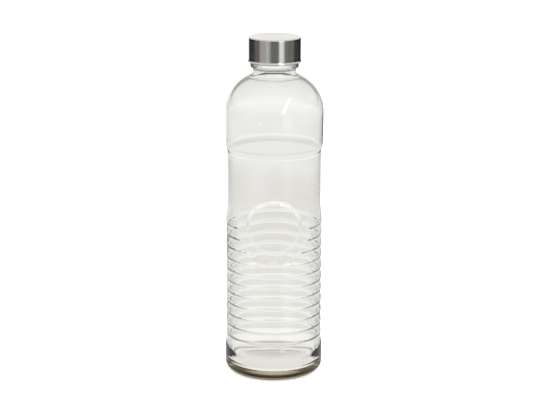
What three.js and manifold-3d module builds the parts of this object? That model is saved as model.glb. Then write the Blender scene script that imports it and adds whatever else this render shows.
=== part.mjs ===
// A one-litre glass water bottle with a screw cap, in millimetres, +Z up.
// Origin: the middle of the ring that the bottle stands on. The medallion faces -Y.
// The cap is a spun steel shell over a threaded plastic insert, with a soft liner inside.
import * as THREE from "three";
import { mergeVertices } from "three/addons/utils/BufferGeometryUtils.js";
import Module from "manifold-3d";

const wasm = await Module();
wasm.setup();

// Rounds
const BODY_SEGMENTS = 40;
const CAP_SEGMENTS = 48;
const THREAD_STEPS_PER_TURN = 24;

// Glass body, outside
const BASE_R = 40.9;
const HEEL_R = 8;
const RING_INNER_R = 30;
const PUNT_HEIGHT = 0.8;
const PUNT_STEPS = 3;
const RIB_COUNT = 11;
const RIB_PITCH = 9.72;
const FIRST_RIB_Z = 33.2;
const RIB_CREST_R = 40.3;
const RIB_VALLEY_R = 39.45;
const RIB_LOWER_FLANK = 0.18;
const RIB_RUN_OUT = 16;
const BAND_TOP_Z = FIRST_RIB_Z - RIB_PITCH;
const LAST_RIB_Z = FIRST_RIB_Z + (RIB_COUNT - 1) * RIB_PITCH;
const WALL_R = 39.1;
const STEP_LOW_Z = 189.5;
const STEP_HIGH_Z = 196.5;
const STEP_R = 40.5;
const DOME_R = 41;
const SHOULDER_Z = 223.5;
const SHOULDER_ARC_R = 33;
const SHOULDER_END_Z = 253.6;
const NECK_R = 18.1;
const NECK_LOW_Z = 256.8;
const NECK_FILLET_R = 3.2;
const NECK_TOP_Z = 260;
const BEAD_R = 20.2;
const BEAD_TOP_Z = 264.4;
const FINISH_R = 18.2;
const FINISH_LOW_Z = 265.6;
const MOUTH_Z = 281.8;
const MOUTH_EDGE = 1;

// Glass body, inside
const GLASS = 2.7;
const RIB_FOLLOW = 0.8;
const BASE_GLASS = 4.2;
const FLOOR_Z = 8;
const FLOOR_CROWN = 0.5;
const FLOOR_CORNER_R = 5;
const BORE_R = 15.6;
const INNER_SHOULDER_END = 66;

// Medallion, a low disc on the wall, round as seen from the front
const MEDALLION_Z = 133.5;
const MEDALLION_R = 21.6;
const MEDALLION_RAISE = 0.9;
const MEDALLION_FACE_R = 53.4;
const MEDALLION_BURY = 1;
const PLAIN_MARGIN = 8.5;
const RIB_FADE = 6;

// Screw thread, single start, right-handed
const PITCH = 4.2;
const THREAD_HEIGHT = 1.1;
const THREAD_BURY = 0.6;
const THREAD_START_TURN = 0.01;
const GLASS_THREAD = { low: 272.4, turns: 1.5, rootHalf: 1.15, crestHalf: 0.45 };
const INSERT_THREAD = { drop: 1.6, early: 0.25, turns: 1.25, rootHalf: 1, crestHalf: 0.4 };
const RUN_OUT = 0.12;
const RUN_OUT_DEPTH = 0.3;

// Cap
const CAP_TOP_Z = 286;
const CAP_R = 21.8;
const SHELL = 0.6;
const CAP_EDGE_R = 0.8;
const INSERT_EDGE_R = 1.2;
const HEM_R = 0.8;
const HEM_PROUD = 0.5;
const HEM_Z = 265.8;
const GAP = 0.3;
const INSERT_LOW_Z = 267.2;
const INSERT_ROOT_R = 19.65;
const INSERT_ROOF = 1.2;
const LINER_R = 19.2;

const DEG = Math.PI / 180;
const MERGE = 1e-4;

const point = (r, z) => new THREE.Vector2(r, z);
const smooth = (t) => THREE.MathUtils.smoothstep(t, 0, 1);

// Points on an arc about (r, z), from one angle to another, both ends included.
function arc(r, z, radius, from, to, steps) {
  const points = [];
  for (let i = 0; i <= steps; i++) {
    const angle = (from + ((to - from) * i) / steps) * DEG;
    points.push(point(r + radius * Math.cos(angle), z + radius * Math.sin(angle)));
  }
  return points;
}

// A profile in (radius, height) turned about +Z. Going up the outside gives faces that point out.
function turned(profile, segments) {
  return new THREE.LatheGeometry(profile, segments).rotateX(Math.PI / 2);
}

// The closed surface of a geometry as a solid that can be joined to others.
function solid(geometry) {
  const bare = new THREE.BufferGeometry();
  bare.setAttribute("position", geometry.getAttribute("position"));
  bare.setIndex(geometry.getIndex());
  const merged = mergeVertices(bare, MERGE);
  return new wasm.Manifold(
    new wasm.Mesh({
      numProp: 3,
      vertProperties: new Float32Array(merged.getAttribute("position").array),
      triVerts: new Uint32Array(merged.getIndex().array),
    }),
  );
}

function geometryOf(manifold) {
  const { vertProperties, triVerts } = manifold.getMesh();
  const geometry = new THREE.BufferGeometry();
  geometry.setAttribute("position", new THREE.BufferAttribute(new Float32Array(vertProperties), 3));
  geometry.setIndex(new THREE.BufferAttribute(new Uint32Array(triVerts), 1));
  geometry.computeVertexNormals();
  return geometry;
}

// A helical ridge. It grows out of the wall at rootR to crestR, which may be the smaller of the two.
// It starts at height low and turn startTurn, and its two ends run out into the wall.
function threadRidge({ rootR, crestR, low, startTurn, turns, rootHalf, crestHalf }) {
  const outward = Math.sign(crestR - rootR);
  const height = Math.abs(crestR - rootR);
  const buried = -THREAD_BURY;
  const buriedHalf = rootHalf + ((rootHalf - crestHalf) * THREAD_BURY) / height;
  const section = new THREE.Shape([
    point(buried, -buriedHalf),
    point(height, -crestHalf),
    point(height, crestHalf),
    point(buried, buriedHalf),
  ]);
  const steps = Math.round(turns * THREAD_STEPS_PER_TURN);
  const straight = new THREE.ExtrudeGeometry(section, { depth: 1, steps, bevelEnabled: false });
  const position = straight.getAttribute("position");
  for (let i = 0; i < position.count; i++) {
    const along = position.getZ(i);
    const nearEnd = Math.min(along, 1 - along) * turns;
    const grown = smooth(nearEnd / RUN_OUT);
    const out = position.getX(i);
    const share = RUN_OUT_DEPTH + (1 - RUN_OUT_DEPTH) * grown;
    const radius = rootR + outward * (buried + (out - buried) * share);
    const angle = (startTurn + along * turns) * 2 * Math.PI;
    const z = low + along * turns * PITCH + position.getY(i);
    position.setXYZ(i, radius * Math.cos(angle), radius * Math.sin(angle), z);
  }
  if (outward > 0) flipFaces(straight);
  return straight;
}

function flipFaces(geometry) {
  const position = geometry.getAttribute("position");
  const a = new THREE.Vector3();
  const b = new THREE.Vector3();
  for (let i = 0; i < position.count; i += 3) {
    a.fromBufferAttribute(position, i);
    b.fromBufferAttribute(position, i + 1);
    position.setXYZ(i, b.x, b.y, b.z);
    position.setXYZ(i + 1, a.x, a.y, a.z);
  }
}

// A rib's flank as a half wave, from one radius and height to another, its far end left out.
function flank(fromR, fromZ, toR, toZ, shares) {
  return shares.map((t) =>
    point(
      THREE.MathUtils.lerp(fromR, toR, (1 - Math.cos(Math.PI * t)) / 2),
      THREE.MathUtils.lerp(fromZ, toZ, t),
    ),
  );
}

// The ribs, from the top of the plain band up to the plain wall. Each has a short flank under
// its crest and a long one over it, and the last long one runs out into the wall.
function ribProfile(lowerShares, upperShares) {
  const points = [];
  for (let i = 0; i < RIB_COUNT; i++) {
    const crestZ = FIRST_RIB_Z + i * RIB_PITCH;
    const valleyZ = crestZ - RIB_LOWER_FLANK * RIB_PITCH;
    const crestBelowR = i === 0 ? BASE_R : RIB_CREST_R;
    points.push(...flank(crestBelowR, crestZ - RIB_PITCH, RIB_VALLEY_R, valleyZ, upperShares));
    points.push(...flank(RIB_VALLEY_R, valleyZ, RIB_CREST_R, crestZ, lowerShares));
  }
  const wallZ = LAST_RIB_Z + RIB_RUN_OUT;
  return [...points, ...flank(RIB_CREST_R, LAST_RIB_Z, WALL_R, wallZ, [...upperShares, 1])];
}

// The push-up under the base, a shallow bowl from the axis to the standing ring.
function puntProfile() {
  const points = [];
  for (let i = 0; i <= PUNT_STEPS; i++) {
    const t = i / PUNT_STEPS;
    points.push(point(RING_INNER_R * t, PUNT_HEIGHT * (1 - t * t)));
  }
  return points;
}

function glassProfile() {
  const shoulderR = DOME_R - SHOULDER_ARC_R;
  const shoulderEnd = Math.asin((SHOULDER_END_Z - SHOULDER_Z) / SHOULDER_ARC_R) / DEG;
  const beadR = (BEAD_TOP_Z - NECK_TOP_Z) / 2;
  const step = [0, 0.25, 0.5, 0.75, 1].map((t) =>
    point(
      THREE.MathUtils.lerp(WALL_R, STEP_R, smooth(t)),
      THREE.MathUtils.lerp(STEP_LOW_Z, STEP_HIGH_Z, t),
    ),
  );
  const outside = [
    ...puntProfile(),
    ...arc(BASE_R - HEEL_R, HEEL_R, HEEL_R, -90, 0, 4),
    ...ribProfile([0, 0.5], [0, 0.3, 0.65]),
    ...step,
    ...arc(shoulderR, SHOULDER_Z, SHOULDER_ARC_R, 0, shoulderEnd, 8),
    ...arc(NECK_R + NECK_FILLET_R, NECK_LOW_Z, NECK_FILLET_R, 250, 180, 3),
    point(NECK_R, NECK_TOP_Z),
    ...arc(BEAD_R - beadR, NECK_TOP_Z + beadR, beadR, -75, 75, 4),
    point(FINISH_R, FINISH_LOW_Z),
    point(FINISH_R, MOUTH_Z - MOUTH_EDGE),
    point(FINISH_R - MOUTH_EDGE, MOUTH_Z),
  ];
  const innerRibs = ribProfile([0], [0, 0.5]).map((p) =>
    point(WALL_R + RIB_FOLLOW * (p.x - WALL_R) - GLASS, p.y),
  );
  const filletR = NECK_R + NECK_FILLET_R;
  const floorFlatR = BASE_R - BASE_GLASS - FLOOR_CORNER_R;
  const inside = [
    point(BORE_R + MOUTH_EDGE, MOUTH_Z),
    point(BORE_R, MOUTH_Z - MOUTH_EDGE),
    ...arc(filletR, NECK_LOW_Z, filletR - BORE_R, 180, 250, 3),
    ...arc(shoulderR, SHOULDER_Z, SHOULDER_ARC_R - GLASS, INNER_SHOULDER_END, 0, 6),
    point(STEP_R - GLASS, STEP_HIGH_Z),
    point(WALL_R - GLASS, STEP_LOW_Z),
    ...innerRibs.reverse(),
    ...arc(floorFlatR, FLOOR_Z + FLOOR_CORNER_R, FLOOR_CORNER_R, 0, -90, 3),
    point(0, FLOOR_Z + FLOOR_CROWN),
  ];
  return [...outside, ...inside];
}

// Levels the ribs to the plain wall around the medallion, outside and inside alike.
function fadeRibs(geometry) {
  const position = geometry.getAttribute("position");
  const ribTop = LAST_RIB_Z + RIB_RUN_OUT;
  const plainR = MEDALLION_R + PLAIN_MARGIN;
  for (let i = 0; i < position.count; i++) {
    const x = position.getX(i);
    const y = position.getY(i);
    const z = position.getZ(i);
    const r = Math.hypot(x, y);
    if (z < BAND_TOP_Z || z > ribTop) continue;
    const plainWallR = r > WALL_R - GLASS / 2 ? WALL_R : WALL_R - GLASS;
    const around = WALL_R * Math.atan2(x, -y);
    const distance = Math.hypot(around, z - MEDALLION_Z);
    const keep = smooth((distance - plainR) / RIB_FADE);
    const wanted = plainWallR + (r - plainWallR) * keep;
    position.setX(i, (x * wanted) / r);
    position.setY(i, (y * wanted) / r);
  }
  return geometry;
}

// A round plug along Y, cut to the wall at its back and to a wider cylinder at its face, so the
// face is flatter than the wall and stands prouder at its sides than at its middle.
function medallion() {
  const height = 2 * MEDALLION_R + 2;
  const wallR = WALL_R - MEDALLION_BURY;
  const wall = new THREE.CylinderGeometry(wallR, wallR, height, BODY_SEGMENTS);
  wall.rotateX(Math.PI / 2);
  wall.translate(0, 0, MEDALLION_Z);
  const face = new THREE.CylinderGeometry(MEDALLION_FACE_R, MEDALLION_FACE_R, height, BODY_SEGMENTS);
  face.rotateX(Math.PI / 2);
  face.translate(0, MEDALLION_FACE_R - WALL_R - MEDALLION_RAISE, MEDALLION_Z);
  const plug = new THREE.CylinderGeometry(MEDALLION_R, MEDALLION_R, DOME_R, BODY_SEGMENTS);
  plug.translate(0, -DOME_R, MEDALLION_Z);
  return solid(plug).intersect(solid(face)).subtract(solid(wall));
}

function bottleGeometry() {
  const body = solid(fadeRibs(turned(glassProfile(), BODY_SEGMENTS)));
  const thread = solid(
    threadRidge({
      rootR: FINISH_R,
      crestR: FINISH_R + THREAD_HEIGHT,
      startTurn: THREAD_START_TURN,
      ...GLASS_THREAD,
    }),
  );
  return geometryOf(body.add(medallion()).add(thread));
}

// Steel: a drawn cup whose rim is rolled outwards into a round hem.
function shellGeometry() {
  const innerR = CAP_R - SHELL;
  const hemCentreR = CAP_R + HEM_PROUD - HEM_R;
  const insideEdgeR = CAP_EDGE_R - SHELL;
  const profile = [
    point(0, CAP_TOP_Z - SHELL),
    ...arc(CAP_R - CAP_EDGE_R, CAP_TOP_Z - CAP_EDGE_R, insideEdgeR, 90, 0, 3),
    point(innerR, HEM_Z + HEM_R),
    ...arc(hemCentreR, HEM_Z, HEM_R, 150, 405, 6),
    point(CAP_R, HEM_Z + HEM_R + HEM_PROUD),
    ...arc(CAP_R - CAP_EDGE_R, CAP_TOP_Z - CAP_EDGE_R, CAP_EDGE_R, 0, 90, 4),
    point(0, CAP_TOP_Z),
  ];
  return turned(profile, CAP_SEGMENTS);
}

// Plastic: a plain cup inside the shell, with the thread on its inner wall.
function insertGeometry() {
  const outerR = CAP_R - SHELL - GAP;
  const topZ = CAP_TOP_Z - SHELL - GAP;
  const profile = [
    point(0, topZ - INSERT_ROOF),
    point(INSERT_ROOT_R, topZ - INSERT_ROOF),
    point(INSERT_ROOT_R, INSERT_LOW_Z),
    point(outerR, INSERT_LOW_Z),
    point(outerR, topZ - INSERT_EDGE_R),
    point(outerR - INSERT_EDGE_R, topZ),
    point(0, topZ),
  ];
  const cup = solid(turned(profile, CAP_SEGMENTS));
  const { drop, early, ...ridge } = INSERT_THREAD;
  const thread = solid(
    threadRidge({
      rootR: INSERT_ROOT_R,
      crestR: INSERT_ROOT_R - THREAD_HEIGHT,
      low: GLASS_THREAD.low - drop - early * PITCH,
      startTurn: THREAD_START_TURN - early,
      ...ridge,
    }),
  );
  return geometryOf(cup.add(thread));
}

// Liner: a soft disc, a hair above the mouth and a hair under the insert's roof.
function linerGeometry() {
  const low = MOUTH_Z + GAP;
  const high = CAP_TOP_Z - SHELL - GAP - INSERT_ROOF - GAP;
  return turned([point(0, low), point(LINER_R, low), point(LINER_R, high), point(0, high)], CAP_SEGMENTS);
}

const glass = new THREE.MeshStandardMaterial({
  color: 0xdde0d8,
  roughness: 0.05,
  metalness: 0,
  transparent: true,
  opacity: 0.35,
});
const steel = new THREE.MeshStandardMaterial({ color: 0xc9c8c4, roughness: 0.3, metalness: 1 });
const plastic = new THREE.MeshStandardMaterial({ color: 0xe8e7e2, roughness: 0.5, metalness: 0 });
const silicone = new THREE.MeshStandardMaterial({ color: 0xf2f1ec, roughness: 0.7, metalness: 0 });

function part(name, geometry, material) {
  const mesh = new THREE.Mesh(geometry, material);
  mesh.name = name;
  return mesh;
}

const bottle = new THREE.Group();
bottle.add(part("glass_bottle", bottleGeometry(), glass));

const cap = new THREE.Group();
cap.add(part("cap_shell", shellGeometry(), steel));
cap.add(part("cap_insert", insertGeometry(), plastic));
cap.add(part("cap_liner", linerGeometry(), silicone));
bottle.add(cap);

export default bottle;
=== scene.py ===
"""A clear glass water bottle with a spun steel screw cap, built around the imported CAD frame.

Lengths in the shape code are millimetres and become metres when a mesh is made.
Angles around the bottle start at the medallion (-Y) and grow towards +X.
"""
import math

import bpy
import numpy as np
from mathutils import Euler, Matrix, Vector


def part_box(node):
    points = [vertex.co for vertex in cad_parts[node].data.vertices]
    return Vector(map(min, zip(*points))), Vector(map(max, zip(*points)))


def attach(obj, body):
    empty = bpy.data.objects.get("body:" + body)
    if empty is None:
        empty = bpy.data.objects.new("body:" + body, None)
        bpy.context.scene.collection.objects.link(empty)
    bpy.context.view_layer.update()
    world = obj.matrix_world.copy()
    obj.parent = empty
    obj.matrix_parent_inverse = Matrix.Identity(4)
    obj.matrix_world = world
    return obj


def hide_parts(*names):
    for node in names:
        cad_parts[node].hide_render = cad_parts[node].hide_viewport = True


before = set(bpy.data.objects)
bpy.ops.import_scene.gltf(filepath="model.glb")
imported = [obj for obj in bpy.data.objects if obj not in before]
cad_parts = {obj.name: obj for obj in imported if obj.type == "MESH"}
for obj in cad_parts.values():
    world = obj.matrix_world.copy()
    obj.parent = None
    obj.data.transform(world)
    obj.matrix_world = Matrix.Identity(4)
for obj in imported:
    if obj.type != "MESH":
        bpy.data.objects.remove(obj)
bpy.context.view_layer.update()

MM = 0.001

# ---- sizes taken from the frame ----
glass_low, glass_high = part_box("glass_bottle")
shell_low, shell_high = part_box("cap_shell")
insert_low, insert_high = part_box("cap_insert")
liner_low, liner_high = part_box("cap_liner")
DOME_R = glass_high.x / MM
MOUTH_Z = glass_high.z / MM
HEM_OUTER_R = shell_high.x / MM
HEM_LOW_Z = shell_low.z / MM
CAP_TOP_Z = shell_high.z / MM
INSERT_R = insert_high.x / MM
INSERT_LOW_Z = insert_low.z / MM
INSERT_TOP_Z = insert_high.z / MM
LINER_R = liner_high.x / MM
LINER_LOW_Z = liner_low.z / MM
LINER_TOP_Z = liner_high.z / MM

# ---- the glass body, outside ----
BASE_R = DOME_R - 0.1
HEEL_R = 8
RING_INNER_R = 30
PUNT_HEIGHT = 0.8
RIB_COUNT = 11
RIB_PITCH = 9.72
FIRST_RIB_Z = 33.2
RIB_CREST_R = 40.3
RIB_VALLEY_R = 39.45
LOWER_FLANK = 0.18
RIB_RUN_OUT = 16
LAST_RIB_Z = FIRST_RIB_Z + (RIB_COUNT - 1) * RIB_PITCH
RIBS_END_Z = LAST_RIB_Z + RIB_RUN_OUT
BAND_Z = FIRST_RIB_Z - RIB_PITCH
WALL_R = 39.1
STEP_LOW_Z = 189.5
STEP_HIGH_Z = 196.5
STEP_R = 40.5
SHOULDER_Z = 223.5
SHOULDER_ARC_R = 33
SHOULDER_END_Z = 253.6
NECK_R = 18.1
NECK_FILLET_R = 3.2
NECK_LOW_Z = 256.8
NECK_TOP_Z = 260
BEAD_R = 20.2
BEAD_TOP_Z = 264.4
FINISH_R = 18.2
FINISH_LOW_Z = 265.6
LIP_R = 1

# ---- the glass body, inside ----
GLASS = 2.7
BASE_GLASS = 4.2
FLOOR_Z = 8
FLOOR_CROWN = 0.5
FLOOR_CORNER_R = 5
BORE_R = 15.6
INNER_SHOULDER_END = 66
RIPPLE_FROM_BORE = 4
RIPPLE_FROM_FLOOR = 2
RIPPLE_FADE = 12

# ---- medallion ----
MEDALLION_Z = 133.5
MEDALLION_R = 21.6
MEDALLION_RAISE = 0.9
MEDALLION_FACE_R = 53.4
MEDALLION_EDGE = 3.0
PLAIN_MARGIN = 8.5
RIB_FADE = 6

# ---- closer rows and columns where the medallion is ----
FINE_MARGIN = 2
FINE_ROW = 0.55
CLEAR_OF_BAND = 0.3
CLEAR_OF_FINE = 0.2
FINE_HALF_ANGLE = math.radians(38)
FINE_COLUMNS = 96
BACK_COLUMNS = 68

# ---- screw thread ----
PITCH = 4.2
THREAD_HEIGHT = 1.1
GLASS_THREAD = dict(low=272.4, start=0.01, turns=1.5, root=1.15, crest=0.45)
INSERT_THREAD = dict(low=269.75, start=-0.24, turns=1.25, root=1.0, crest=0.4)
RUN_OUT = 0.12

# ---- cap ----
SHELL = 0.6
HEM_PROUD = 0.5
HEM_R = 0.8
CAP_R = HEM_OUTER_R - HEM_PROUD
CAP_EDGE_R = 0.8
SIDE_ABOVE_HEM = 0.3
INSERT_ROOT_R = 19.65
INSERT_ROOF = 1.2
INSERT_EDGE_R = 1
INSERT_LIP_R = 0.4
LINER_DENT = 0.25
LINER_DENT_WIDTH = 1.1


# =============================================================== shape helpers
def smoothstep(t):
    t = np.clip(t, 0.0, 1.0)
    return t * t * (3 - 2 * t)


def arc(r, z, radius, start, end, steps):
    """Rows on an arc about (r, z), angles in degrees, both ends included."""
    angles = np.radians(np.linspace(start, end, steps + 1))
    return np.column_stack([r + radius * np.cos(angles), z + radius * np.sin(angles)])


def line(r0, z0, r1, z1, steps):
    """Rows on a straight line, both ends included."""
    return np.column_stack([np.linspace(r0, r1, steps + 1), np.linspace(z0, z1, steps + 1)])


def joined(*stretches):
    """Stretches of rows one after the other, without the points that two of them share."""
    rows = [stretches[0]]
    for stretch in stretches[1:]:
        shared = np.allclose(rows[-1][-1], stretch[0], atol=1e-6)
        rows.append(stretch[1:] if shared else stretch)
    return np.concatenate(rows)


def even_angles(count):
    return np.linspace(0, 2 * math.pi, count, endpoint=False)


def dense_front_angles(front_half, front_steps, back_steps):
    """Angles round the bottle with closer steps where the medallion is."""
    front = np.linspace(-front_half, front_half, front_steps, endpoint=False)
    back = np.linspace(front_half, 2 * math.pi - front_half, back_steps, endpoint=False)
    return np.concatenate([front, back])


def turned_mesh(name, rows, angles, displace=None):
    """A closed surface of revolution from rows of (radius, height). Rows that go up the outside
    face outwards. The surface starts and ends on the axis, or closes on itself as a ring.
    displace(radius, height, angle) gives the radius at each point."""
    count, around = len(rows), len(angles)
    r = np.repeat(rows[:, :1], around, axis=1)
    z = np.repeat(rows[:, 1:], around, axis=1)
    a = np.repeat(angles[None, :], count, axis=0)
    if displace is not None:
        r = displace(r, z, a)
    points = np.stack([r * np.sin(a), -r * np.cos(a), z], axis=-1) * MM
    on_axis = rows[0, 0] < 1e-9 and rows[-1, 0] < 1e-9
    first = np.arange(around)
    following = (first + 1) % around
    faces = []
    if on_axis:
        body = points[1:-1].reshape(-1, 3)
        vertices = np.concatenate([points[0, :1], body, points[-1, :1]])
        starts = [1 + (i - 1) * around for i in range(count)]
        low, high, last = starts[1], starts[count - 2], len(vertices) - 1
        faces += [(0, int(q), int(p)) for p, q in zip(low + first, low + following)]
        faces += [(last, int(p), int(q)) for p, q in zip(high + first, high + following)]
        span = range(1, count - 2)
    else:
        vertices = points.reshape(-1, 3)
        starts = [(i % count) * around for i in range(count + 1)]
        span = range(count)
    for i in span:
        low, high = starts[i], starts[i + 1]
        faces += [
            (int(low + p), int(low + q), int(high + q), int(high + p))
            for p, q in zip(first, following)
        ]
    mesh = bpy.data.meshes.new(name)
    mesh.from_pydata(vertices.tolist(), [], faces)
    mesh.validate()
    mesh.shade_smooth()
    piece = bpy.data.objects.new(name, mesh)
    bpy.context.scene.collection.objects.link(piece)
    return piece


def thread_relief(z, a, low, start, turns, root, crest):
    """0 to 1, how much of a helical ridge stands at height z and angle a. The ridge is a
    trapezium in section, root and crest its half widths, and it runs out at both ends."""
    relief = np.zeros_like(z)
    turn = (a / (2 * math.pi) - 0.25) % 1.0
    for lap in range(-1, 3):
        along = turn + lap - start
        centre = low + along * PITCH
        section = np.clip((root - np.abs(z - centre)) / (root - crest), 0, 1)
        ends = smoothstep(np.minimum(along, turns - along) / RUN_OUT)
        relief = np.maximum(relief, section * ends)
    return relief


# =============================================================== the glass body
def rib_wave(z):
    """1 on a crest, 0 in a valley; the flank under a crest is shorter than the one above it."""
    turn = (z - FIRST_RIB_Z) / RIB_PITCH
    turn = turn - np.floor(turn + LOWER_FLANK)
    share = np.where(turn < 0, turn / LOWER_FLANK, turn / (1 - LOWER_FLANK))
    share = np.where(z > LAST_RIB_Z, np.clip((z - LAST_RIB_Z) / RIB_RUN_OUT, 0, 1), share)
    return 0.5 + 0.5 * np.cos(math.pi * share)


def rib_heights():
    """Rows for the ribs, closer together on the short lower flank of each one."""
    lower = -LOWER_FLANK * np.array([1, 0.75, 0.5, 0.25])
    upper = (1 - LOWER_FLANK) * np.array([0, 0.12, 0.26, 0.42, 0.58, 0.74, 0.88])
    within = np.concatenate([lower, upper])
    return np.concatenate([FIRST_RIB_Z + (i + within) * RIB_PITCH for i in range(-1, RIB_COUNT)])


def rib_radius(z):
    low_valley_z = FIRST_RIB_Z - LOWER_FLANK * RIB_PITCH
    valley = np.where(z > LAST_RIB_Z, WALL_R, RIB_VALLEY_R)
    crest = np.where(z < low_valley_z, BASE_R, RIB_CREST_R)
    return valley + (crest - valley) * rib_wave(z)


def step_rows(t):
    radius = WALL_R + (STEP_R - WALL_R) * smoothstep(t)
    return np.column_stack([radius, STEP_LOW_Z + (STEP_HIGH_Z - STEP_LOW_Z) * t])


def dome_rows(t):
    radius = STEP_R + (DOME_R - STEP_R) * np.sin(t * math.pi / 2)
    return np.column_stack([radius, STEP_HIGH_Z + (SHOULDER_Z - STEP_HIGH_Z) * t])


def outside_rows():
    """The outside from the middle of the base up to the mouth."""
    fine_low_z = MEDALLION_Z - MEDALLION_R - FINE_MARGIN
    fine_high_z = MEDALLION_Z + MEDALLION_R + FINE_MARGIN
    punt_r = np.linspace(0, RING_INNER_R, 14)
    punt = np.column_stack([punt_r, PUNT_HEIGHT * (1 - (punt_r / RING_INNER_R) ** 2)])
    ring_outer_r = BASE_R - HEEL_R
    coarse = rib_heights()
    coarse = coarse[(coarse > BAND_Z + CLEAR_OF_BAND) & (coarse < fine_low_z - CLEAR_OF_FINE)]
    fine_count = round((RIBS_END_Z - fine_low_z) / FINE_ROW) + 1
    fine = np.linspace(fine_low_z, RIBS_END_Z, fine_count)
    heights = np.concatenate([[BAND_Z], coarse, fine])
    shoulder_end = math.degrees(math.asin((SHOULDER_END_Z - SHOULDER_Z) / SHOULDER_ARC_R))
    bead_r = (BEAD_TOP_Z - NECK_TOP_Z) / 2
    return joined(
        punt,
        line(RING_INNER_R, 0, ring_outer_r, 0, 4),
        arc(ring_outer_r, HEEL_R, HEEL_R, -90, 0, 16),
        line(BASE_R, HEEL_R, BASE_R, BAND_Z, 8),
        np.column_stack([rib_radius(heights), heights]),
        line(WALL_R, RIBS_END_Z, WALL_R, fine_high_z, 22),
        line(WALL_R, fine_high_z, WALL_R, STEP_LOW_Z, 8),
        step_rows(np.linspace(0, 1, 15)),
        dome_rows(np.linspace(0, 1, 8)),
        arc(DOME_R - SHOULDER_ARC_R, SHOULDER_Z, SHOULDER_ARC_R, 0, shoulder_end, 26),
        arc(NECK_R + NECK_FILLET_R, NECK_LOW_Z, NECK_FILLET_R, 250, 180, 7),
        line(NECK_R, NECK_LOW_Z, NECK_R, NECK_TOP_Z, 3),
        arc(BEAD_R - bead_r, NECK_TOP_Z + bead_r, bead_r, -75, 75, 10),
        line(FINISH_R, FINISH_LOW_Z, FINISH_R, MOUTH_Z - LIP_R, 44),
        arc(FINISH_R - LIP_R, MOUTH_Z - LIP_R, LIP_R, 0, 90, 5),
    )


def inside_rows():
    """The inside from the mouth down to the middle of the floor, following the ribs."""
    ribs_z = rib_heights()
    ribs_z = ribs_z[(ribs_z > BAND_Z + CLEAR_OF_BAND) & (ribs_z < LAST_RIB_Z)]
    ribs_z = np.concatenate([ribs_z, np.linspace(LAST_RIB_Z, RIBS_END_Z, 12)])[::-1]
    floor_r = BASE_R - BASE_GLASS - FLOOR_CORNER_R
    corner_z = FLOOR_Z + FLOOR_CORNER_R
    return joined(
        arc(BORE_R + LIP_R, MOUTH_Z - LIP_R, LIP_R, 90, 180, 5),
        line(BORE_R, MOUTH_Z - LIP_R, BORE_R, NECK_LOW_Z, 6),
        arc(NECK_R + NECK_FILLET_R, NECK_LOW_Z, NECK_R + NECK_FILLET_R - BORE_R, 180, 250, 7),
        arc(DOME_R - SHOULDER_ARC_R, SHOULDER_Z, SHOULDER_ARC_R - GLASS, INNER_SHOULDER_END, 0, 22),
        dome_rows(np.linspace(1, 0, 8)) - (GLASS, 0),
        step_rows(np.linspace(1, 0, 15)) - (GLASS, 0),
        line(WALL_R - GLASS, STEP_LOW_Z, WALL_R - GLASS, RIBS_END_Z, 14),
        np.column_stack([rib_radius(ribs_z) - GLASS, ribs_z]),
        thickening_rows(corner_z),
        arc(floor_r, corner_z, FLOOR_CORNER_R, 0, -90, 14),
        floor_rows(floor_r),
    )


def thickening_rows(corner_z):
    """Down the plain band the wall grows from its own thickness to that of the base."""
    t = np.linspace(0, 1, 7)
    radius = BASE_R - GLASS + (GLASS - BASE_GLASS) * smoothstep(t)
    return np.column_stack([radius, BAND_Z + (corner_z - BAND_Z) * t])


def floor_rows(floor_r):
    t = np.linspace(0, 1, 9)
    return np.column_stack([floor_r * (1 - t), FLOOR_Z + FLOOR_CROWN * smoothstep(t)])


def wall_ripple(z, a):
    """The slow unevenness of blown glass on the inside, in millimetres."""
    return (
        0.10 * np.sin(2 * a + 0.021 * z + 0.6)
        + 0.06 * np.sin(3 * a - 0.047 * z + 2.1)
        + 0.035 * np.sin(5 * a + 0.083 * z + 4.0)
        + 0.04 * np.sin(0.11 * z + 1.1 + np.sin(a))
    )


def rib_share(z, a):
    """0 on the plain field round the medallion, 1 where the ribs have their full depth."""
    wrapped = (a + math.pi) % (2 * math.pi) - math.pi
    from_centre = np.hypot(wrapped * WALL_R, z - MEDALLION_Z)
    return smoothstep((from_centre - MEDALLION_R - PLAIN_MARGIN) / RIB_FADE)


def medallion_rise(r, z, a):
    """How far the medallion stands out of the wall. Its face is part of a wider cylinder than
    the wall, so it stands prouder at its sides."""
    from_centre = np.hypot(np.sin(a) * r, z - MEDALLION_Z)
    disc = np.clip((MEDALLION_R + MEDALLION_EDGE / 2 - from_centre) / MEDALLION_EDGE, 0, 1)
    behind = MEDALLION_FACE_R - WALL_R - MEDALLION_RAISE
    face_r = np.sqrt(MEDALLION_FACE_R**2 - (behind * np.sin(a)) ** 2) - behind * np.cos(a)
    return np.where(np.cos(a) > 0, (face_r - WALL_R) * disc, 0)


def outside_radius(r, z, a):
    """Ribs that fade out round the medallion, the medallion, and the thread."""
    ribbed = (z > BAND_Z) & (z < STEP_LOW_Z) & (r > WALL_R - GLASS / 2)
    out = np.where(ribbed, WALL_R + (r - WALL_R) * rib_share(z, a), r)
    out = out + np.where(ribbed, medallion_rise(r, z, a), 0)
    on_finish = (z > FINISH_LOW_Z) & (z < MOUTH_Z - LIP_R)
    return out + np.where(on_finish, THREAD_HEIGHT * thread_relief(z, a, **GLASS_THREAD), 0)


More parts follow.
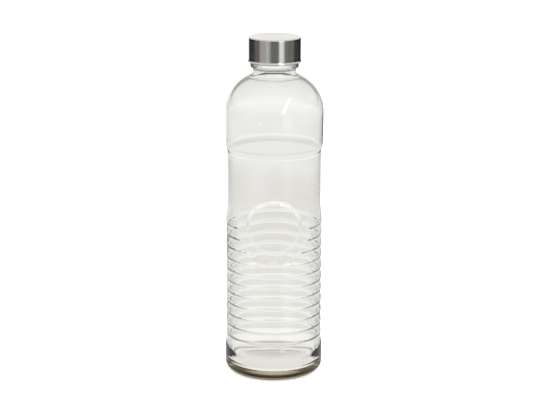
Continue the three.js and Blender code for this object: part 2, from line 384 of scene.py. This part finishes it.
def inside_radius(r, z, a):
    """The same fading of the ribs, and a ripple everywhere but in the bore and on the floor."""
    behind_ribs = (z > BAND_Z) & (z < STEP_LOW_Z)
    plain_r = WALL_R - GLASS
    inner = np.where(behind_ribs, plain_r + (r - plain_r) * rib_share(z, a), r)
    off_bore = smoothstep((r - BORE_R - RIPPLE_FROM_BORE) / RIPPLE_FADE)
    off_floor = smoothstep((z - FLOOR_Z - RIPPLE_FROM_FLOOR) / RIPPLE_FADE)
    return inner + wall_ripple(z, a) * (off_bore * off_floor)


def make_glass():
    outside, inside = outside_rows(), inside_rows()
    rows = np.concatenate([outside, inside])
    is_outside = (np.arange(len(rows)) < len(outside))[:, None]

    def displace(r, z, a):
        return np.where(is_outside, outside_radius(r, z, a), inside_radius(r, z, a))

    angles = dense_front_angles(FINE_HALF_ANGLE, FINE_COLUMNS, BACK_COLUMNS)
    return turned_mesh("bottle_glass", rows, angles, displace)


# =============================================================== the cap
def make_shell():
    inner_r = CAP_R - SHELL
    hem_r = HEM_OUTER_R - HEM_R
    hem_z = HEM_LOW_Z + HEM_R
    edge_r, edge_z = CAP_R - CAP_EDGE_R, CAP_TOP_Z - CAP_EDGE_R
    rows = joined(
        line(0, CAP_TOP_Z - SHELL, edge_r, CAP_TOP_Z - SHELL, 6),
        arc(edge_r, edge_z, CAP_EDGE_R - SHELL, 90, 0, 5),
        line(inner_r, edge_z, inner_r, hem_z + HEM_R, 6),
        arc(hem_r, hem_z, HEM_R, 150, 400, 20),
        line(CAP_R, hem_z + HEM_R + SIDE_ABOVE_HEM, CAP_R, edge_z, 14),
        arc(edge_r, edge_z, CAP_EDGE_R, 0, 90, 10),
        line(edge_r, CAP_TOP_Z, 0, CAP_TOP_Z, 12),
    )
    return turned_mesh("cap_steel_shell", rows, even_angles(160))


def make_insert():
    lip, edge = INSERT_LIP_R, INSERT_EDGE_R
    ceiling_z = INSERT_TOP_Z - INSERT_ROOF
    rows = joined(
        line(0, ceiling_z, INSERT_ROOT_R - lip, ceiling_z, 4),
        arc(INSERT_ROOT_R - lip, ceiling_z - lip, lip, 90, 0, 4),
        line(INSERT_ROOT_R, ceiling_z - lip, INSERT_ROOT_R, INSERT_LOW_Z + lip, 56),
        arc(INSERT_ROOT_R + lip, INSERT_LOW_Z + lip, lip, 180, 270, 4),
        arc(INSERT_R - lip, INSERT_LOW_Z + lip, lip, -90, 0, 4),
        line(INSERT_R, INSERT_LOW_Z + lip, INSERT_R, INSERT_TOP_Z - edge, 6),
        arc(INSERT_R - edge, INSERT_TOP_Z - edge, edge, 0, 90, 5),
        line(INSERT_R - edge, INSERT_TOP_Z, 0, INSERT_TOP_Z, 4),
    )

    def displace(r, z, a):
        inner_wall = (np.abs(r - INSERT_ROOT_R) < 1e-6) & (z < ceiling_z - lip)
        relief = thread_relief(z, a, **INSERT_THREAD)
        return np.where(inner_wall, r - THREAD_HEIGHT * relief, r)

    return turned_mesh("cap_threaded_insert", rows, even_angles(160), displace)


def make_liner():
    """A soft disc with rounded edges and the ring that the mouth has pressed into it."""
    edge = (LINER_TOP_Z - LINER_LOW_Z) / 2
    mouth_r = (BORE_R + FINISH_R) / 2
    under_r = np.linspace(0, LINER_R - edge, 50)
    dent = LINER_DENT * np.exp(-(((under_r - mouth_r) / LINER_DENT_WIDTH) ** 2))
    rows = joined(
        np.column_stack([under_r, LINER_LOW_Z + dent]),
        arc(LINER_R - edge, LINER_LOW_Z + edge, edge, -90, 90, 10),
        line(LINER_R - edge, LINER_TOP_Z, 0, LINER_TOP_Z, 5),
    )
    return turned_mesh("cap_sealing_liner", rows, even_angles(128))


# =============================================================== material graphs
class Graph:
    """Short calls for building a node tree."""

    def __init__(self, tree):
        self.tree = tree
        tree.nodes.clear()

    def node(self, kind, settings=None, **inputs):
        made = self.tree.nodes.new(kind)
        for key, value in (settings or {}).items():
            setattr(made, key, value)
        for key, value in inputs.items():
            self.feed(made, key.replace("_", " "), value)
        return made

    def feed(self, node, key, value):
        socket = node.inputs[int(key) if key.isdigit() else key]
        if isinstance(value, bpy.types.NodeSocket):
            self.tree.links.new(value, socket)
        else:
            socket.default_value = value

    def math(self, operation, *values):
        made = self.tree.nodes.new("ShaderNodeMath")
        made.operation = operation
        for i, value in enumerate(values):
            self.feed(made, str(i), value)
        return made.outputs[0]

    def between(self, value, low, high, to_low=0.0, to_high=1.0, smooth=True):
        made = self.tree.nodes.new("ShaderNodeMapRange")
        made.interpolation_type = "SMOOTHSTEP" if smooth else "LINEAR"
        for i, number in enumerate((value, low, high, to_low, to_high)):
            self.feed(made, str(i), number)
        return made.outputs[0]

    def mix(self, share, a, b):
        made = self.tree.nodes.new("ShaderNodeMix")
        made.data_type = "RGBA"
        self.feed(made, "0", share)
        self.feed(made, "6", a)
        self.feed(made, "7", b)
        return made.outputs[2]

    def ramp(self, value, stops):
        """A colour ramp from (place, colour) pairs. The first two stops are the ramp's own."""
        made = self.tree.nodes.new("ShaderNodeValToRGB")
        self.feed(made, "0", value)
        elements = made.color_ramp.elements
        for place, _ in stops[2:]:
            elements.new(place)
        for element, (place, colour) in zip(elements, stops):
            element.position = place
            element.color = (*colour, 1)
        return made.outputs[0]


def new_material(name):
    material = bpy.data.materials.new(name)
    material.use_nodes = True
    return material, Graph(material.node_tree)


def object_point(g):
    """The object's own coordinates as x, y, z sockets."""
    place = g.node("ShaderNodeTexCoord").outputs["Object"]
    split = g.node("ShaderNodeSeparateXYZ", Vector=place)
    return place, split.outputs[0], split.outputs[1], split.outputs[2]


def around_axis(g):
    """Radius from the axis and height, in metres, and the angle, in radians."""
    _, x, y, z = object_point(g)
    radius = g.math("SQRT", g.math("ADD", g.math("MULTIPLY", x, x), g.math("MULTIPLY", y, y)))
    return radius, z, g.math("ARCTAN2", x, y)


# the heel's painted shade: a brown colour put on the outside of the glass for the dark that the
# thick base shows, not a colour of the glass; with the millimetres between which it fades in and out
# again
HEEL_PAINTED_SHADE = (0.45, 0.385, 0.28, 1)
HEEL_SHADE_RISES = (3.4, 4.8)
HEEL_SHADE_FALLS = (9.6, 8.2)
HEEL_SHADE_OUTSIDE = (38.5, 39.5)


def heel_band(g):
    """Where the brown shade is painted: 1 on the outer surface of the heel, 0 above it, below it and
    inside.
    """
    radius, height, _ = around_axis(g)
    rises = g.between(height, *(edge * MM for edge in HEEL_SHADE_RISES))
    falls = g.between(height, *(edge * MM for edge in HEEL_SHADE_FALLS))
    outside = g.between(radius, *(edge * MM for edge in HEEL_SHADE_OUTSIDE))
    return g.math("MULTIPLY", g.math("MULTIPLY", rises, falls), outside)


def glass_material():
    """Clear glass, faintly coloured through its thickness, with a brown shade painted on the heel.
    """
    material, g = new_material("clear_glass")
    place = object_point(g)[0]
    ripple = g.node("ShaderNodeTexNoise", Vector=place, Scale=22.0, Detail=1.0, Roughness=0.4)
    bump = g.node("ShaderNodeBump", Strength=0.12, Distance=0.0006, Height=ripple.outputs[0])
    # the base colour carries the brown shade painted on the heel
    surface = g.node(
        "ShaderNodeBsdfPrincipled",
        Base_Color=g.mix(heel_band(g), (1, 1, 1, 1), HEEL_PAINTED_SHADE),
        Roughness=0.0,
        IOR=1.5,
        Transmission_Weight=1.0,
        Normal=bump.outputs[0],
    )
    inside = g.node("ShaderNodeVolumeAbsorption", Color=(0.60, 0.56, 0.30, 1), Density=9.0)
    g.node("ShaderNodeOutputMaterial", Surface=surface.outputs[0], Volume=inside.outputs[0])
    return material


def steel_material():
    """Spun stainless: fine rings round the axis, and a highlight stretched across them."""
    material, g = new_material("spun_steel")
    radius, height, angle = around_axis(g)
    across = g.math("ADD", radius, g.math("MULTIPLY", height, 0.73))
    slow_turn = g.math("MULTIPLY", g.math("SINE", g.math("MULTIPLY", angle, 3.0)), 0.00002)
    ring = g.node("ShaderNodeCombineXYZ", X=g.math("ADD", across, slow_turn), Y=0.0, Z=0.0)
    ring = ring.outputs[0]
    fine = g.node("ShaderNodeTexNoise", Vector=ring, Scale=9000.0, Detail=3.0, Roughness=0.7)
    broad = g.node("ShaderNodeTexNoise", Vector=ring, Scale=900.0, Detail=2.0, Roughness=0.5)
    line_height = g.math("ADD", fine.outputs[0], g.math("MULTIPLY", broad.outputs[0], 0.6))
    bump = g.node("ShaderNodeBump", Strength=0.10, Distance=0.00004, Height=line_height)
    tint = g.mix(fine.outputs[0], (0.60, 0.595, 0.575, 1), (0.74, 0.735, 0.715, 1))
    rough = g.between(broad.outputs[0], 0.3, 0.7, 0.14, 0.18)
    tangent = g.node("ShaderNodeTangent", settings=dict(direction_type="RADIAL", axis="Z"))
    surface = g.node(
        "ShaderNodeBsdfPrincipled",
        Base_Color=tint,
        Metallic=1.0,
        Roughness=rough,
        Anisotropic=0.65,
        Anisotropic_Rotation=0.25,
        Tangent=tangent.outputs[0],
        Normal=bump.outputs[0],
    )
    g.node("ShaderNodeOutputMaterial", Surface=surface.outputs[0])
    return material


def soft_material(name, light, dark, roughness, grain, depth, subsurface):
    """Moulded plastic or silicone: a slightly uneven colour and a fine grain."""
    material, g = new_material(name)
    place = object_point(g)[0]
    patches = g.node("ShaderNodeTexNoise", Vector=place, Scale=160.0, Detail=3.0)
    pores = g.node("ShaderNodeTexNoise", Vector=place, Scale=grain, Detail=4.0, Roughness=0.6)
    bump = g.node("ShaderNodeBump", Strength=0.25, Distance=depth, Height=pores.outputs[0])
    surface = g.node(
        "ShaderNodeBsdfPrincipled",
        Base_Color=g.mix(patches.outputs[0], dark, light),
        Roughness=g.between(pores.outputs[0], 0.3, 0.7, roughness - 0.06, roughness + 0.06),
        Subsurface_Weight=subsurface,
        Subsurface_Scale=0.002,
        Normal=bump.outputs[0],
    )
    g.node("ShaderNodeOutputMaterial", Surface=surface.outputs[0])
    return material


# =============================================================== studio
FLOOR_HALF = 30.0
FLOOR_GAP = 0.0002


def make_floor():
    """A pale floor just under the base. The glass and the steel do not show it."""
    mesh = bpy.data.meshes.new("studio_floor")
    corners = [(-1, -1), (1, -1), (1, 1), (-1, 1)]
    places = [(x * FLOOR_HALF, y * FLOOR_HALF, -FLOOR_GAP) for x, y in corners]
    mesh.from_pydata(places, [], [(0, 1, 2, 3)])
    floor = bpy.data.objects.new("studio_floor", mesh)
    bpy.context.scene.collection.objects.link(floor)
    material, g = new_material("pale_floor")
    surface = g.node("ShaderNodeBsdfDiffuse", Color=(0.9, 0.9, 0.9, 1))
    g.node("ShaderNodeOutputMaterial", Surface=surface.outputs[0])
    mesh.materials.append(material)
    floor.visible_transmission = False
    floor.visible_glossy = False


def grey(value, warm=0.0):
    return (value * (1 + warm), value, value * (1 - warm))


BACKDROP = (1, 1, 1, 1)
# for the floor and every other matt surface
FLOOR_LIGHT = (2.2, 2.2, 2.2, 1)

# seen through the glass, the same all the way round: (elevation in degrees, colour)
SWEEP_LOW, SWEEP_HIGH = -30, 30
SWEEP = [
    (-30, (0.97, 0.97, 0.95)),
    (-24, (0.98, 0.98, 0.95)),
    (-21, (0.97, 0.965, 0.93)),
    (-19.5, (0.83, 0.825, 0.79)),
    (-18, (0.79, 0.785, 0.75)),
    (-17.1, (0.79, 0.785, 0.75)),
    (-16.3, (0.80, 0.79, 0.76)),
    (-15.4, (0.75, 0.74, 0.71)),
    (-14.0, (0.81, 0.80, 0.775)),
    (-13.3, (0.87, 0.87, 0.85)),
    (-12.7, (0.85, 0.85, 0.85)),
    (-12.0, (0.915, 0.915, 0.915)),
    (-11.3, (0.97, 0.97, 0.97)),
    (-10.9, (1.0, 1.0, 1.0)),
    (-9.5, (0.90, 0.90, 0.90)),
    (2, (0.87, 0.87, 0.87)),
    (5, (0.20, 0.16, 0.10)),
    (30, (0.20, 0.16, 0.10)),
]

# mirrored at eye height: (degrees round from straight behind the bottle, right is +, colour)
SURROUNDINGS = [
    (-180, grey(0.15)),
    (-165, grey(0.15)),
    (-159, grey(0.52, 0.01)),
    (-116, grey(0.44, 0.03)),
    (-109, (0.16, 0.115, 0.105)),
    (-90, (0.13, 0.10, 0.095)),
    (-80, grey(0.012)),
    (-38, grey(0.012)),
    (-28, grey(0.95)),
    (14, grey(0.95)),
    (22, grey(0.015)),
    (84, grey(0.015)),
    (92, (0.17, 0.16, 0.125)),
    (116, (0.16, 0.155, 0.12)),
    (134, grey(0.22)),
    (143, grey(1.1)),
    (157, grey(1.1)),
    (163, grey(0.15)),
    (180, grey(0.15)),
]
TABLE_BEHIND, TABLE_FRONT = (0.6, 0.6, 0.59, 1), (0.35, 0.35, 0.34, 1)
CEILING_LOW, CEILING_HIGH = (1.06, 1.06, 1.05, 1), (0.55, 0.55, 0.54, 1)
CEILING_FRONT = (0.92, 0.92, 0.91, 1)
# where each begins and where it is full, in degrees
FRONT_FADE = (84.0, 100.0)
TABLE_FADE = (-12.8, -16.0)
CEILING_FADE = (3.0, 11.0)
CEILING_DIMS = (20.0, 34.0)

SOFTBOX = (4.0, 4.0, 4.0, 1)
SOFTBOX_DEGREES = 160.0
SOFTBOX_BEND = 0.0135
SOFTBOX_SIDE = (6.5, 4.0)
SOFTBOX_FOOT = (5.0, 9.0)
SOFTBOX_HEAD = (52.0, 46.0)
WINDOW = (3.0, 3.0, 3.0, 1)
WINDOW_DEGREES = -147.6
WINDOW_ELEVATION = -12.4
WINDOW_SIDE = (3.5, 2.0)
WINDOW_HEIGHT = (0.6, 0.3)


def softbox_share(g, degrees, elevation):
    """1 on the tall softbox in front on the right, which leans over as it goes up."""
    bend = g.math("MULTIPLY", g.math("MULTIPLY", elevation, elevation), SOFTBOX_BEND)
    off_centre = g.math("SUBTRACT", g.math("ADD", degrees, bend), SOFTBOX_DEGREES)
    across = g.between(g.math("ABSOLUTE", off_centre), *SOFTBOX_SIDE)
    above_foot = g.between(elevation, *SOFTBOX_FOOT)
    below_head = g.between(elevation, *SOFTBOX_HEAD)
    return g.math("MULTIPLY", g.math("MULTIPLY", above_foot, below_head), across)


def window_share(g, degrees, elevation):
    """1 on the small window in front on the left."""
    off_side = g.math("ABSOLUTE", g.math("SUBTRACT", degrees, WINDOW_DEGREES))
    off_height = g.math("ABSOLUTE", g.math("SUBTRACT", elevation, WINDOW_ELEVATION))
    within_side = g.between(off_side, *WINDOW_SIDE)
    return g.math("MULTIPLY", within_side, g.between(off_height, *WINDOW_HEIGHT))


def mirrored_studio(g, degrees, elevation):
    """What reflections show: walls, table and ceiling, the softbox and the window."""
    turn = g.math("ADD", g.math("DIVIDE", degrees, 360.0), 0.5)
    colour = g.ramp(turn, [(angle / 360 + 0.5, shade) for angle, shade in SURROUNDINGS])
    front = g.between(g.math("ABSOLUTE", degrees), *FRONT_FADE)
    table = g.mix(front, TABLE_BEHIND, TABLE_FRONT)
    colour = g.mix(g.between(elevation, *TABLE_FADE), colour, table)
    behind = g.mix(g.between(elevation, *CEILING_DIMS), CEILING_LOW, CEILING_HIGH)
    ceiling = g.mix(front, behind, CEILING_FRONT)
    colour = g.mix(g.between(elevation, *CEILING_FADE), colour, ceiling)
    colour = g.mix(softbox_share(g, degrees, elevation), colour, SOFTBOX)
    return g.mix(window_share(g, degrees, elevation), colour, WINDOW)


def sweep_behind(g, elevation):
    """What is seen through the glass: a pale sweep whose shade changes with height."""
    span = SWEEP_HIGH - SWEEP_LOW
    height = g.math("DIVIDE", g.math("SUBTRACT", elevation, float(SWEEP_LOW)), float(span))
    return g.ramp(height, [((at - SWEEP_LOW) / span, shade) for at, shade in SWEEP])


def studio_light():
    """All the light is a world round the bottle, and each kind of ray meets its own part of it:
    white for the camera, the sweep through glass, the studio in mirrors, even light on the floor."""
    world = bpy.data.worlds.new("studio")
    world.use_nodes = True
    bpy.context.scene.world = world
    world.cycles.sampling_method = "NONE"
    g = Graph(world.node_tree)
    direction = g.node("ShaderNodeTexCoord").outputs["Generated"]
    x, y, z = g.node("ShaderNodeSeparateXYZ", Vector=direction).outputs
    degrees = g.math("MULTIPLY", g.math("ARCTAN2", x, y), 180 / math.pi)
    elevation = g.math("MULTIPLY", g.math("ARCSINE", z), 180 / math.pi)
    path = g.node("ShaderNodeLightPath").outputs
    after_floor = g.math("GREATER_THAN", path["Diffuse Depth"], 0.5)
    colour = g.mix(path["Is Glossy Ray"], FLOOR_LIGHT, mirrored_studio(g, degrees, elevation))
    colour = g.mix(path["Is Transmission Ray"], colour, sweep_behind(g, elevation))
    colour = g.mix(after_floor, colour, FLOOR_LIGHT)
    colour = g.mix(path["Is Camera Ray"], colour, BACKDROP)
    light = g.node("ShaderNodeBackground", Color=colour, Strength=1.0)
    g.node("ShaderNodeOutputWorld", Surface=light.outputs[0])


CAMERA_PLACE = (0, -1.53, 0.544)
CAMERA_LENS = 123.5
LOOKS_DOWN = math.radians(14.71)
CAMERA_ROLL = math.radians(0.2)
CAMERA_YAW = math.radians(-0.03)


def make_camera():
    """Eye height, distance and lens are the photograph's own viewing angle."""
    data = bpy.data.cameras.new("camera")
    camera = bpy.data.objects.new("camera", data)
    bpy.context.scene.collection.objects.link(camera)
    data.sensor_width = 36
    data.lens = CAMERA_LENS
    camera.location = CAMERA_PLACE
    aim = Euler((math.pi / 2 - LOOKS_DOWN, 0, CAMERA_YAW)).to_matrix()
    camera.rotation_euler = (aim @ Euler((0, 0, CAMERA_ROLL)).to_matrix()).to_euler()
    data.clip_start, data.clip_end = 0.01, 100
    bpy.context.scene.camera = camera


# =============================================================== put together
def dress(piece, material, body, node):
    """Gives a piece its material, says what it rides on, and hides the frame part that it stands
    for.
    """
    piece.data.materials.append(material)
    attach(piece, body)
    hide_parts(node)


def main():
    make_camera()
    make_floor()
    studio_light()
    plastic = soft_material(
        "white_polypropylene",
        light=(0.86, 0.86, 0.84, 1),
        dark=(0.78, 0.78, 0.76, 1),
        roughness=0.42,
        grain=2600.0,
        depth=0.00003,
        subsurface=0.1,
    )
    silicone = soft_material(
        "white_silicone",
        light=(0.88, 0.88, 0.87, 1),
        dark=(0.80, 0.80, 0.79, 1),
        roughness=0.6,
        grain=1500.0,
        depth=0.00004,
        subsurface=0.25,
    )
    dress(make_glass(), glass_material(), "bottle", "glass_bottle")
    dress(make_shell(), steel_material(), "cap", "cap_shell")
    dress(make_insert(), plastic, "cap", "cap_insert")
    dress(make_liner(), silicone, "liner", "cap_liner")
    bpy.context.scene.view_settings.view_transform = "Standard"


main()
